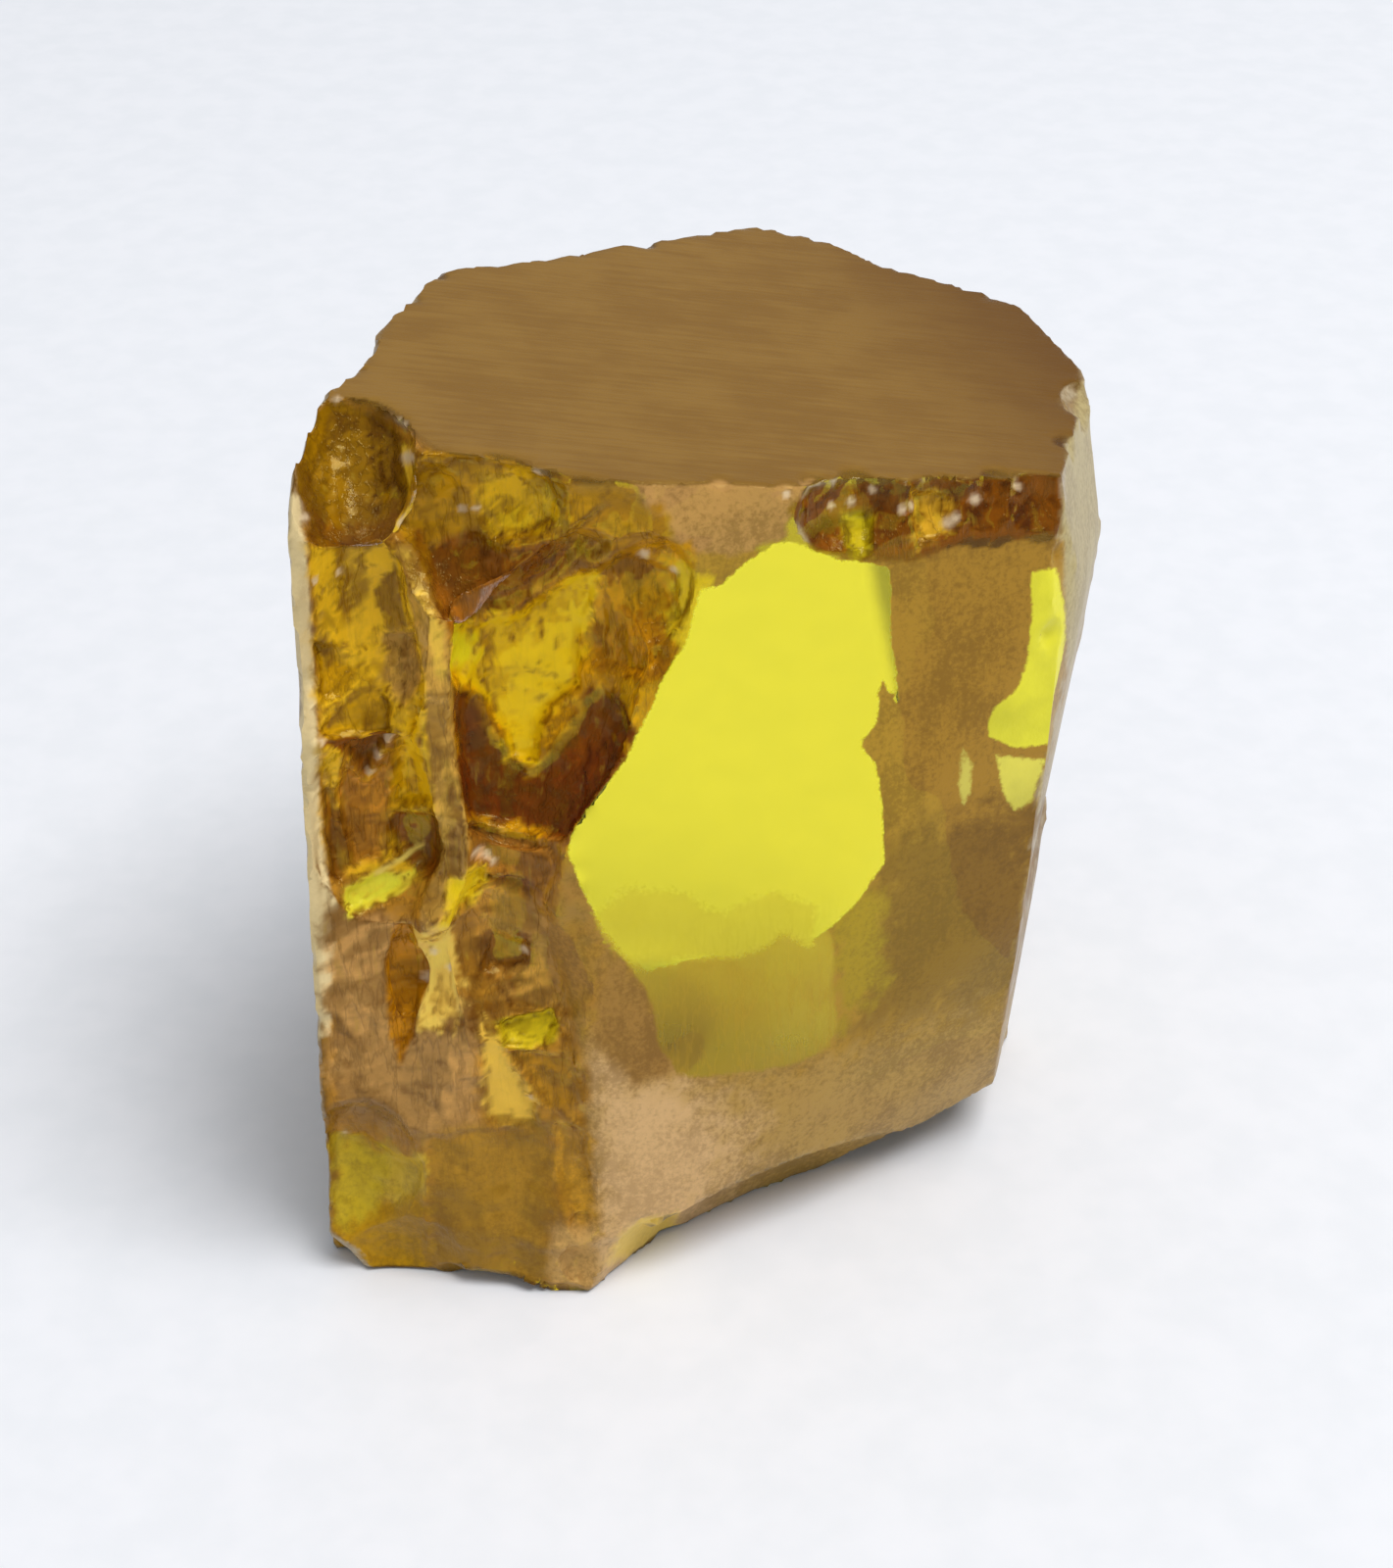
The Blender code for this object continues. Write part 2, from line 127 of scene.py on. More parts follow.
# Marks on the surface, each over the ones before it: outline in pixels, tone, share of clear stone,
# and the softness and raggedness of the edge in mm.
PATCHES = {
    # The front face and its chipped rim
    "front_face": (FRONT_FACE, srgb(156, 119, 54), 0.06, 0.10, 0.2),
    "front_low": (
        [(905, 840), (1060, 830), (1060, 1010), (860, 1068), (880, 960)],
        srgb(124, 92, 44), 0.05, 0.66, 1.16),
    "lower_band": (
        [(590, 1090), (690, 1098), (860, 1072), (1060, 1015), (1060, 1140), (760, 1260), (590, 1350)],
        srgb(162, 130, 84), 0.04, 0.66, 0.8),
    "band_left": (
        [(605, 1078), (690, 1100), (760, 1150), (720, 1273), (590, 1350)],
        srgb(194, 161, 142), 0.02, 1.41, 0.92),
    "olive_side": (
        [(846, 930), (870, 912), (900, 915), (902, 1000), (874, 1036), (858, 1048), (850, 980)],
        srgb(146, 118, 36), 0.15, 0.24, 0.44),
    "scallop": (
        [(622, 1290), (632, 1262), (655, 1246), (690, 1240), (690, 1262), (650, 1282)],
        srgb(220, 190, 118), 0.05, 0.15, 0.14),
    "diagonal_facet": (
        [(560, 900), (582, 880), (603, 930), (640, 985), (664, 1020), (690, 1095), (650, 1110), (608, 1060),
         (600, 1000)],
        srgb(146, 109, 68), 0.04, 0.21, 0.38),
    "top_bevel": (
        [(640, 478), (700, 484), (830, 488), (812, 520), (800, 548), (745, 568), (700, 562), (660, 530)],
        srgb(166, 128, 92), 0.03, 0.08, 0.15),
    "chip_row": (
        [(803, 520), (830, 500), (900, 492), (1084, 484), (1084, 545), (985, 552), (930, 572), (880, 574),
         (830, 562)],
        srgb(104, 56, 2), 0.12, 0.08, 0.15),
    # Painted glow: light passing through the stone.
    "chip_glow": (
        [(930, 500), (965, 505), (975, 545), (935, 560)],
        srgb(176, 136, 40), 0.15, 0.21, 0.44),
    # Painted glint: a yellow spot of light in the chip row.
    "chip_glint": (
        [(858, 524), (892, 520), (888, 566), (872, 572), (862, 556)],
        srgb(158, 142, 16), 0.15, 0.15, 0.18),
    # The shattered left side
    "left_field": (SHATTERED, srgb(158, 112, 42), 0.06, 0.21, 0.2),
    "left_strip": (
        [(286, 500), (307, 505), (315, 591), (320, 655), (323, 719), (328, 790), (337, 878), (344, 930),
         (338, 1060), (322, 1060), (300, 800), (286, 600)],
        srgb(198, 182, 170), 0.02, 0.06, 0.06),
    "corner_scoop": (
        [(299, 435), (344, 406), (385, 425), (407, 457), (407, 489), (398, 527), (385, 550), (360, 566),
         (344, 563), (324, 550), (312, 527), (303, 495)],
        srgb(128, 92, 4), 0.15, 0.08, 0.10),
    "corner_scoop_dark": (
        [(312, 515), (340, 528), (372, 528), (396, 505), (385, 548), (360, 566), (344, 563), (324, 550)],
        srgb(118, 74, 8), 0.12, 0.28, 0.44),
    # Painted light: a thin bright line along the scoop's rim.
    "scoop_rim": (
        [(401, 450), (410, 458), (413, 490), (405, 530), (390, 557), (385, 551), (397, 525), (404, 488)],
        srgb(226, 190, 64), 0.05, 0.05, 0.03),
    "upper_scar": (
        [(414, 454), (433, 457), (487, 464), (535, 480), (592, 499), (640, 503), (662, 527), (672, 548),
         (615, 553), (576, 591), (535, 623), (503, 645), (471, 655), (457, 652), (439, 607), (412, 556),
         (404, 500)],
        srgb(158, 116, 14), 0.12, 0.18, 0.26),
    "upper_scar_low": (
        [(434, 560), (470, 545), (520, 560), (570, 552), (600, 560), (560, 600), (503, 645), (471, 655),
         (457, 652), (440, 607)],
        srgb(122, 68, 8), 0.08, 0.36, 0.56),
    "upper_scar_rust": (
        [(440, 585), (470, 590), (520, 600), (545, 600), (500, 640), (466, 652), (450, 630)],
        srgb(142, 86, 26), 0.08, 0.36, 0.44),
    # Painted glow: light passing through the stone.
    "upper_scar_glow": (
        [(487, 492), (524, 484), (560, 494), (567, 530), (545, 548), (503, 552), (484, 532)],
        srgb(192, 152, 18), 0.12, 0.24, 0.38),
    "ridge_streaks": (
        [(566, 556), (620, 510), (650, 505), (690, 545), (640, 560), (600, 575)],
        srgb(156, 112, 22), 0.08, 0.24, 0.44),
    "great_scoop": (
        [(458, 664), (484, 650), (535, 626), (576, 591), (615, 572), (660, 560), (704, 553), (712, 577),
         (700, 640), (686, 690), (643, 773), (600, 838), (577, 872), (545, 880), (490, 860), (474, 838),
         (468, 787), (462, 729)],
        srgb(186, 134, 8), 0.10, 0.08, 0.12),
    "great_scoop_hairs": (
        [(588, 590), (640, 570), (686, 590), (690, 640), (680, 690), (640, 690), (600, 680), (586, 640)],
        srgb(160, 108, 6), 0.08, 0.28, 0.44),
    "great_scoop_dark": (
        [(462, 700), (500, 722), (512, 760), (540, 790), (566, 760), (590, 720), (612, 700), (640, 735),
         (660, 745), (625, 800), (585, 862), (540, 850), (477, 838), (468, 787)],
        srgb(104, 50, 3), 0.10, 0.24, 0.5),
    "great_scoop_black": (
        [(470, 780), (540, 796), (620, 765), (610, 815), (580, 850), (520, 838), (474, 820)],
        srgb(90, 36, 1), 0.08, 0.51, 0.56),
    # Painted glow: the wedge's bright yellow stands in for light passing through the stone.
    "wedge": (
        [(458, 665), (484, 652), (535, 630), (567, 607), (586, 591), (612, 590), (592, 640), (586, 703),
         (567, 719), (551, 744), (545, 783), (522, 776), (516, 751), (503, 719), (462, 690)],
        srgb(228, 190, 16), 0.10, 0.15, 0.32),
    # Painted glow: light passing through the stone.
    "wedge_tip": (
        [(458, 665), (484, 652), (500, 662), (500, 690), (480, 690)],
        srgb(250, 236, 40), 0.10, 0.28, 0.26),
    "olive_margin": (
        [(679, 585), (704, 572), (724, 590), (715, 640), (696, 672), (680, 650)],
        srgb(200, 172, 32), 0.15, 0.18, 0.44),
    "ledge_under": (
        [(474, 838), (520, 850), (577, 862), (572, 890), (550, 930), (510, 905), (478, 892)],
        srgb(146, 96, 40), 0.08, 0.21, 0.44),
    "column": (
        [(318, 560), (360, 570), (404, 560), (436, 640), (444, 720), (446, 850), (420, 900), (363, 900),
         (338, 880), (328, 800), (320, 655)],
        srgb(200, 160, 34), 0.06, 0.24, 0.32),
    # Painted glow: light passing through the stone.
    "column_glow_high": (
        [(321, 655), (345, 660), (362, 690), (352, 712), (328, 718)],
        srgb(162, 122, 10), 0.08, 0.18, 0.2),
    # Painted glow: light passing through the stone.
    "column_glow": (
        [(328, 745), (340, 722), (362, 705), (384, 704), (392, 725), (388, 752), (331, 756)],
        srgb(168, 128, 12), 0.08, 0.15, 0.22),
    "column_tan": (
        [(382, 655), (408, 645), (414, 700), (398, 730), (388, 700)],
        srgb(164, 126, 74), 0.05, 0.24, 0.32),
    "column_amber": (
        [(414, 690), (430, 700), (434, 780), (437, 832), (394, 836), (392, 770), (408, 720)],
        srgb(218, 174, 10), 0.06, 0.05, 0.06),
    "dark_triangle": (
        [(331, 757), (388, 752), (396, 760), (372, 808), (353, 778)],
        srgb(116, 62, 10), 0.10, 0.05, 0.08),
    "rust_wedge": (
        [(353, 778), (372, 808), (396, 762), (393, 836), (388, 880), (362, 892), (345, 820)],
        srgb(172, 116, 40), 0.06, 0.21, 0.22),
    "dark_below": (
        [(392, 838), (440, 836), (446, 870), (430, 905), (405, 880), (392, 892)],
        srgb(118, 66, 12), 0.10, 0.18, 0.26),
    "dark_left": (
        [(328, 799), (345, 810), (358, 890), (352, 902), (342, 895)],
        srgb(128, 80, 18), 0.10, 0.18, 0.26),
    "blade": (
        [(405, 553), (420, 558), (438, 596), (452, 636), (460, 674), (466, 719), (472, 783), (475, 846),
         (472, 900), (456, 945), (434, 962), (427, 938), (441, 880), (441, 790), (433, 700), (415, 630)],
        srgb(168, 130, 70), 0.04, 0.06, 0.08),
    "blade_light": (
        [(410, 560), (420, 566), (437, 605), (450, 650), (452, 700), (444, 690), (430, 625)],
        srgb(196, 162, 76), 0.04, 0.15, 0.15),
    "lower_tan": (
        [(334, 935), (395, 930), (440, 950), (490, 1050), (492, 1150), (430, 1175), (360, 1140), (332, 1100)],
        srgb(148, 112, 78), 0.05, 0.36, 0.44),
    # Painted glow: the bright yellow spot stands in for light passing through the stone.
    "yellow_spot": (
        [(355, 908), (384, 896), (410, 898), (404, 915), (378, 928), (358, 941)],
        srgb(255, 252, 90), 0.08, 0.14, 0.22),
    "streak": (
        [(381, 896), (417, 871), (419, 875), (385, 900)],
        srgb(222, 200, 120), 0.05, 0.04, 0.02),
    # Painted glow: light passing through the stone.
    "yellow_blotch": (
        [(456, 899), (491, 896), (491, 925), (475, 944), (452, 951)],
        srgb(238, 208, 36), 0.08, 0.18, 0.26),
    # Painted highlight: a pinkish glint.
    "painted_pink_glint": (
        [(476, 877), (488, 876), (500, 892), (497, 896), (482, 888)],
        srgb(214, 168, 140), 0.05, 0.04, 0.04),
    "dark_shelf": (
        [(488, 905), (540, 912), (540, 931), (507, 922)],
        srgb(104, 56, 6), 0.06, 0.14, 0.15),
    "mid_amber": (
        [(495, 950), (560, 930), (605, 960), (608, 1012), (580, 1040), (520, 1030), (500, 1000)],
        srgb(156, 114, 56), 0.05, 0.36, 0.56),
    "dark_spots": (
        [(500, 962), (536, 962), (540, 985), (518, 1000), (492, 1000)],
        srgb(118, 70, 12), 0.15, 0.18, 0.56),
    # Crumbly break: its pale bright tone is partly its own colour, partly painted sparkle.
    "crumbly": (
        [(425, 958), (462, 954), (475, 1010), (466, 1045), (424, 1050), (420, 1000)],
        srgb(236, 204, 116), 0.06, 0.21, 0.44),
    # Painted glow: light passing through the stone.
    "hackle": (
        [(508, 1045), (560, 1032), (567, 1048), (555, 1074), (514, 1071)],
        srgb(190, 170, 30), 0.10, 0.15, 0.26),
    "olive_triangle": (
        [(514, 1078), (589, 1074), (592, 1130), (560, 1134)],
        srgb(150, 106, 26), 0.06, 0.18, 0.26),
    "pale_wedge": (
        [(491, 1022), (514, 1078), (547, 1133), (547, 1156), (508, 1152), (494, 1143), (491, 1078)],
        srgb(200, 164, 76), 0.04, 0.15, 0.2),
    "lens": (
        [(400, 952), (411, 944), (420, 975), (423, 1006), (420, 1058), (407, 1091), (396, 1058), (391, 996)],
        srgb(158, 104, 8), 0.08, 0.05, 0.04),
    "gold_foot": (
        [(436, 1160), (560, 1150), (566, 1230), (560, 1330), (430, 1320)],
        srgb(142, 106, 42), 0.06, 0.43, 0.44),
    "green_corner": (
        [(334, 1160), (372, 1165), (400, 1185), (430, 1190), (436, 1310), (345, 1320), (334, 1250)],
        srgb(166, 126, 24), 0.10, 0.24, 0.32),
    "green_streaks": (
        [(336, 1165), (385, 1180), (398, 1205), (372, 1245), (345, 1260), (336, 1220)],
        srgb(180, 156, 46), 0.12, 0.24, 0.44),
    "pale_facet": (
        [(395, 1182), (432, 1185), (430, 1225), (390, 1235)],
        srgb(182, 154, 64), 0.06, 0.21, 0.22),
    "ragged_edge": (
        [(565, 1150), (600, 1150), (612, 1250), (590, 1256), (566, 1220)],
        srgb(176, 130, 46), 0.08, 0.21, 0.44),
    "foot": (
        [(560, 1254), (608, 1250), (606, 1335), (560, 1335)],
        srgb(178, 142, 104), 0.04, 0.24, 0.22),
    "right_strip": (
        [(1086, 470), (1102, 390), (1140, 400), (1140, 560), (1130, 690), (1092, 690), (1086, 600)],
        srgb(166, 154, 138), 0.03, 0.1, 0.1),
}

# The clear windows: outline in pixels, share of clear stone, softness and raggedness of the edge in mm.
WINDOWS = {
    "dim_window": (
        [(622, 960), (740, 940), (800, 935), (836, 925), (850, 960), (853, 1000), (858, 1045), (849, 1068),
         (804, 1085), (745, 1096), (690, 1098), (678, 1062), (662, 1010)],
        0.35, 0.10, 0.25),
    "window": (
        [(735, 600), (760, 575), (790, 557), (812, 555), (860, 572), (905, 580), (910, 640), (918, 722),
         (898, 693), (893, 740), (878, 757), (893, 780), (900, 840), (903, 880), (880, 915), (850, 945),
         (828, 960), (800, 935), (740, 975), (660, 990), (625, 960), (600, 925), (577, 868), (582, 850),
         (640, 770), (680, 690), (700, 660), (706, 640), (715, 600)],
        0.97, 0.05, 0.16),
    "window_band": (
        [(600, 930), (640, 905), (700, 912), (740, 935), (790, 905), (832, 925), (826, 962), (800, 948),
         (745, 984), (690, 984), (650, 985), (620, 962)],
        0.72, 0.20, 0.45),
    "right_window": (
        [(1051, 584), (1080, 576), (1086, 627), (1086, 685), (1076, 722), (1073, 762), (1036, 765),
         (1007, 751), (1011, 729), (1036, 700), (1047, 671), (1052, 627)],
        0.15, 0.06, 0.15),
    "right_window_foot": (
        [(1014, 769), (1069, 773), (1051, 816), (1036, 824), (1022, 809)],
        0.15, 0.08, 0.2),
    "right_fleck": (
        [(982, 762), (996, 780), (993, 809), (982, 824), (974, 802)],
        0.15, 0.08, 0.2),
}
# Painted light: lemon and gold tones that stand in for light passing through the stone, laid over the share
# that is not clear.
PAINTED_WINDOW_LIGHT = {
    "dim_window": srgb(182, 144, 42),
    "window": srgb(224, 219, 56),
    "window_band": srgb(206, 176, 44),
    "right_window": srgb(246, 238, 62),
    "right_window_foot": srgb(244, 232, 92),
    "right_fleck": srgb(220, 205, 90),
}

# Facets sunk into the breaks, by mark: depth in mm, and the way that they deepen as degrees in the picture,
# 0 to the right and 90 downward.
SUNK = {
    "upper_scar_low": (0.35, 70), "upper_scar_glow": (0.18, 100), "ridge_streaks": (0.25, 140),
    "wedge": (0.30, 60), "great_scoop_hairs": (0.30, 20), "great_scoop_dark": (0.25, 80),
    "ledge_under": (0.40, 270), "column_glow_high": (0.35, 200), "column_glow": (0.40, 80),
    "column_tan": (0.25, 300), "column_amber": (0.45, 180), "dark_triangle": (0.50, 60),
    "rust_wedge": (0.35, 200), "dark_below": (0.40, 100), "dark_left": (0.30, 0),
    "yellow_spot": (0.45, 120), "yellow_blotch": (0.35, 20), "dark_shelf": (0.40, 270),
    "mid_amber": (0.15, 45), "dark_spots": (0.30, 90), "crumbly": (0.15, 200), "hackle": (0.45, 270),
    "olive_triangle": (0.25, 170), "pale_wedge": (0.25, 20), "lens": (0.45, 0), "gold_foot": (0.12, 200),
    "green_corner": (0.18, 300), "pale_facet": (0.15, 160), "ragged_edge": (0.15, 180),
    "chip_glint": (0.25, 0), "chip_glow": (0.25, 180), "scallop": (0.30, 270),
}

# Painted glints along the broken rims, pale dots that stand in for highlights: place and radius, in pixels.
PAINTED_GLINTS = [(344, 405, 7), (407, 465, 9), (414, 466, 6), (312, 527, 7), (398, 527, 6), (547, 483, 8),
          (470, 525, 6), (484, 523, 5), (656, 572, 8), (684, 588, 6), (388, 772, 6), (382, 786, 5),
          (376, 800, 5), (329, 757, 6), (482, 879, 6), (492, 886, 7), (499, 893, 5), (968, 533, 9),
          (975, 528, 7), (920, 520, 7), (932, 517, 6), (995, 510, 8), (890, 500, 6), (803, 505, 6),
          (868, 512, 6), (848, 516, 5), (1040, 497, 6), (348, 590, 5), (322, 594, 5), (420, 1010, 5),
          (436, 985, 6), (452, 1000, 5), (534, 975, 6), (352, 1165, 5), (540, 1125, 5)]

# Rippled breaks, by mark: the point that the ripples spread from in pixels, their length and height in mm,
# and how much of them runs outward as rays.
RIPPLES = {
    "corner_scoop": ((230, 480), 0.55, 0.030, 0.2),
    "upper_scar": ((430, 380), 0.8, 0.035, 0.6),
    "great_scoop": ((600, 430), 0.9, 0.045, 0.7),
    "column": ((300, 560), 0.7, 0.04, 0.5),
    "yellow_spot": ((350, 930), 0.3, 0.03, 0.9),
    "hackle": ((500, 1090), 0.3, 0.03, 0.9),
    "green_corner": ((330, 1340), 0.7, 0.04, 0.4),
    "chip_row": ((900, 440), 0.5, 0.03, 0.5),
}


def outline_depth(points, outline):
    """How far inside an outline the points lie, and how far outside as a negative number."""
    outline = np.array(outline, float)
    nearest = np.full(len(points), np.inf)
    inside = np.zeros(len(points), bool)
    for start, end in zip(outline, np.roll(outline, -1, axis=0)):
        along = end - start
        share = ((points - start) @ along / (along @ along)).clip(0, 1)
        nearest = np.minimum(nearest, np.linalg.norm(points - start - share[:, None] * along, axis=1))
        crosses = (start[1] > points[:, 1]) != (end[1] > points[:, 1])
        level = start[0] + (points[:, 1] - start[1]) / (along[1] if along[1] else 1e-9) * along[0]
        inside ^= crosses & (points[:, 0] < level)
    return np.where(inside, nearest, -nearest)


def seen_at(points):
    """Where points of the stone appear in the picture, in pixels."""
    upward = Vector((0.0, math.sin(PITCH), math.cos(PITCH)))
    gap = points - np.array(EYE)
    depth = gap @ np.array(SIGHT)
    scale = LENS / SENSOR * PICTURE[1] / depth
    across = PICTURE[0] / 2 + gap[:, 0] * scale
    down = PICTURE[1] / 2 - gap @ np.array(upward) * scale
    return np.stack([across, down], axis=1)


def read_points(mesh):
    """A mesh's vertices as an array."""
    flat = np.empty(len(mesh.vertices) * 3, np.float32)
    mesh.vertices.foreach_get("co", flat)
    return flat.reshape(-1, 3).astype(float)


def write_points(mesh, points):
    """Moves a mesh's vertices to the points of an array."""
    mesh.vertices.foreach_set("co", points.astype(np.float32).ravel())
    mesh.update()


def read_normals(mesh):
    """A mesh's vertex directions as an array."""
    flat = np.empty(len(mesh.vertices) * 3, np.float32)
    mesh.vertex_normals.foreach_get("vector", flat)
    return flat.reshape(-1, 3).astype(float)


def refine(mesh):
    """Splits the faces of the breaks in four, as their relief is the finest."""
    body = bmesh.new()
    body.from_mesh(mesh)
    points = read_points(mesh)
    places = seen_at(points)
    near = np.maximum(outline_depth(places, SHATTERED), outline_depth(places, TOP_RIM)) > -FINER_MARGIN
    normals = read_normals(mesh)
    near &= ((np.array(EYE) - points) * normals).sum(1) > 0
    edges = [e for e in body.edges if near[e.verts[0].index] and near[e.verts[1].index]]
    bmesh.ops.subdivide_edges(body, edges=edges, cuts=1, use_grid_fill=True)
    body.to_mesh(mesh)
    body.free()


def fine_copy(node):
    """A copy of a CAD node in millimetres with an even, fine mesh that lies on the node's faces."""
    mesh = node.data.copy()
    body = bmesh.new()
    body.from_mesh(mesh)
    bmesh.ops.remove_doubles(body, verts=body.verts, dist=WELD)
    bmesh.ops.scale(body, vec=(1 / MM,) * 3, verts=body.verts)
    body.to_mesh(mesh)
    faces = BVHTree.FromBMesh(body)
    body.free()
    rough = bpy.data.objects.new("rough", mesh)
    bpy.context.scene.collection.objects.link(rough)
    remesh = rough.modifiers.new("even", "REMESH")
    remesh.mode = "VOXEL"
    remesh.voxel_size = CELL
    even = bpy.data.meshes.new_from_object(rough.evaluated_get(bpy.context.evaluated_depsgraph_get()))
    bpy.data.objects.remove(rough)
    even.materials.clear()
    refine(even)
    points = read_points(even)
    write_points(even, np.array([faces.find_nearest(Vector(p))[0] for p in points]))
    return even


def edge_bends(mesh):
    """The mesh's edges, and the angle between the two faces at each."""
    body = bmesh.new()
    body.from_mesh(mesh)
    ends = np.array([(e.verts[0].index, e.verts[1].index) for e in body.edges])
    bends = np.array([e.calc_face_angle(0.0) for e in body.edges])
    body.free()
    return ends, bends


def spread_largest(count, ends, values):
    """For each vertex the largest value of its edges."""
    largest = np.zeros(count)
    np.maximum.at(largest, ends[:, 0], values)
    np.maximum.at(largest, ends[:, 1], values)
    return largest


def relax(points, ends, share, rounds):
    """Moves each point towards the middle of its neighbours, by its own share, some rounds over."""
    count = len(points)
    friends = np.bincount(ends.ravel(), minlength=count)[:, None]
    for _ in range(rounds):
        total = np.stack([np.bincount(ends[:, 0], points[ends[:, 1], k], count)
                          + np.bincount(ends[:, 1], points[ends[:, 0], k], count) for k in range(3)], axis=1)
        points = points + (total / friends - points) * share[:, None]
    return points


def step(low, high, values):
    """From 0 at low to 1 at high, eased at both ends."""
    share = ((values - low) / (high - low)).clip(0, 1)
    return share * share * (3 - 2 * share)


def height_over(points, plane):
    """How far points stand out from a plane, given as a point and a direction."""
    return (points - np.array(plane[0])) @ np.array(plane[1].normalized())


def blunt(mesh, points):
    """Evens out the needles that a thin wall leaves in the mesh."""
    for _ in range(NEEDLE_PASSES):
        ends, bends = edge_bends(mesh)
        needles = spread_largest(len(points), ends, step(*NEEDLE_ANGLES, bends))
        for _ in range(NEEDLE_REACH):
            beside = spread_largest(len(points), ends, needles[ends].max(axis=1))
            needles = np.maximum(needles, NEEDLE_FADE * beside)
        points = relax(points, ends, needles * NEEDLE_SHARE, NEEDLE_ROUNDS)
        write_points(mesh, points)
    return points


def shape_stone(mesh):
    """Rounds the facets of the scoops and leaves the rims sharp: the points, and the largest bend at each."""
    points = read_points(mesh)
    ends, bends = edge_bends(mesh)
    rim = spread_largest(len(points), ends, bends)
    loose = 1 - step(FACET_ANGLE * FACET_EASE, FACET_ANGLE, rim)
    points = relax(points, ends, loose * SMOOTH_SHARE, SMOOTH_ROUNDS)
    write_points(mesh, points)
    return blunt(mesh, points), rim


def crease(mesh):
    """Shades the mesh smooth, with sharp edges where it bends most."""
    ends, bends = edge_bends(mesh)
    mesh.shade_smooth()
    sharp = mesh.attributes.get("sharp_edge") or mesh.attributes.new("sharp_edge", "BOOLEAN", "EDGE")
    angle = {tuple(sorted(pair)): bend for pair, bend in zip(ends.tolist(), bends.tolist())}
    flags = [angle[tuple(sorted(edge.vertices))] > CREASE_ANGLE for edge in mesh.edges]
    sharp.data.foreach_set("value", flags)


def add_values(mesh, name, values):
    """Keeps one number for each vertex under a name that the material reads."""
    mesh.attributes.new(name, "FLOAT", "POINT").data.foreach_set("value", values.astype(np.float32))


def cloud_at(points, scale, octaves, seed):
    """Soft noise, about -1 to 1, at each of the points."""
    shift = Vector((seed, seed * 0.7, -seed))
    return np.array([noise.fractal(Vector(p) * scale + shift, 1.0, 2.0, octaves) for p in points])


def chip_cuts(points, centres, radii, depths):
    """How deep shallow round chips cut in at each point, in mm; where chips meet, a sharp ridge is left."""
    tree = KDTree(len(points))
    for index, point in enumerate(points):
        tree.insert(point, index)
    tree.balance()
    cut = np.zeros(len(points))
    for centre, radius, depth in zip(centres, radii, depths):
        for _, index, gap in tree.find_range(centre, radius):
            cut[index] = max(cut[index], depth * (1 - (gap / radius) ** 2))
    return cut


def wall_under(mesh, points, normals, chosen):
    """How thick the stone is straight under the chosen points, in mm."""
    body = BVHTree.FromPolygons(points.tolist(), [face.vertices[:] for face in mesh.polygons])
    thick = np.full(len(points), THICK_WALL)
    for index in np.flatnonzero(chosen):
        inward = Vector(-normals[index])
        met = body.ray_cast(Vector(points[index]) + inward * LEAST_CUT, inward)
        if met[0] is not None:
            thick[index] = met[3]
    return thick


def chip_breaks(cut, points, rim, shattered):
    """The cuts with shallow chips scattered over the breaks and small ones along the rims."""
    dice = np.random.default_rng(SEED)
    many = dice.choice(np.flatnonzero(shattered > 0.9), FACE_CHIPS, replace=False)
    radii = dice.uniform(*FACE_CHIP_RADII, FACE_CHIPS)
    chip_depths = radii * dice.uniform(*FACE_CHIP_SLOPES, FACE_CHIPS)
    cut = cut + shattered * chip_cuts(points, points[many], radii, chip_depths)
    many = dice.choice(np.flatnonzero(rim > RIM_ANGLE), RIM_CHIPS, replace=False)
    radii = RIM_CHIP_LEAST + RIM_CHIP_SPREAD * dice.random(RIM_CHIPS) ** 3
    return np.maximum(cut, chip_cuts(points, points[many], radii, radii * RIM_CHIP_SLOPE))


def sink_facets(cut, points, places, depths):
    """The cuts with the sunk facets, each deeper towards one side."""
    for name, (depth, way) in SUNK.items():
        along = places @ np.array((math.cos(math.radians(way)), math.sin(math.radians(way))))
        held = along[depths[name] > 0]
        if len(held):
            share = ((along - held.min()) / (np.ptp(held) + 1.0)).clip(0, 1)
            slope = SHALLOW_END + (1 - SHALLOW_END) * share
            wobbly = depths[name] + SUNK_WOBBLE * cloud_at(points, 1.6, 2, way)
            cut = cut + depth * slope * step(*SUNK_EDGE, wobbly)
    return cut


def ripple_breaks(cut, points, places, depths):
    """The cuts with rings and rays that spread from where a break began."""
    for name, (source, length, height, rays) in RIPPLES.items():
        gap = (places - np.array(source, float)) / PIXELS_PER_MM
        reach = np.linalg.norm(gap, axis=1)
        turn = np.arctan2(gap[:, 1], gap[:, 0])
        wander = cloud_at(points, 0.7, 2, 5.0 + length)
        rings = 0.5 + 0.5 * np.sin(reach / length * math.tau + wander * RIPPLE_WANDER)
        spokes = np.stack([np.cos(turn), np.sin(turn), reach * 0.02], axis=1) * reach.mean() / length
        hairs = np.abs(cloud_at(spokes, 1.6, 3, 2.2))
        waves = (1 - rays) * rings + rays * RAY_HEIGHT * hairs
        cut = cut + step(*RIPPLE_EDGE, depths[name]) * height * waves
    return cut


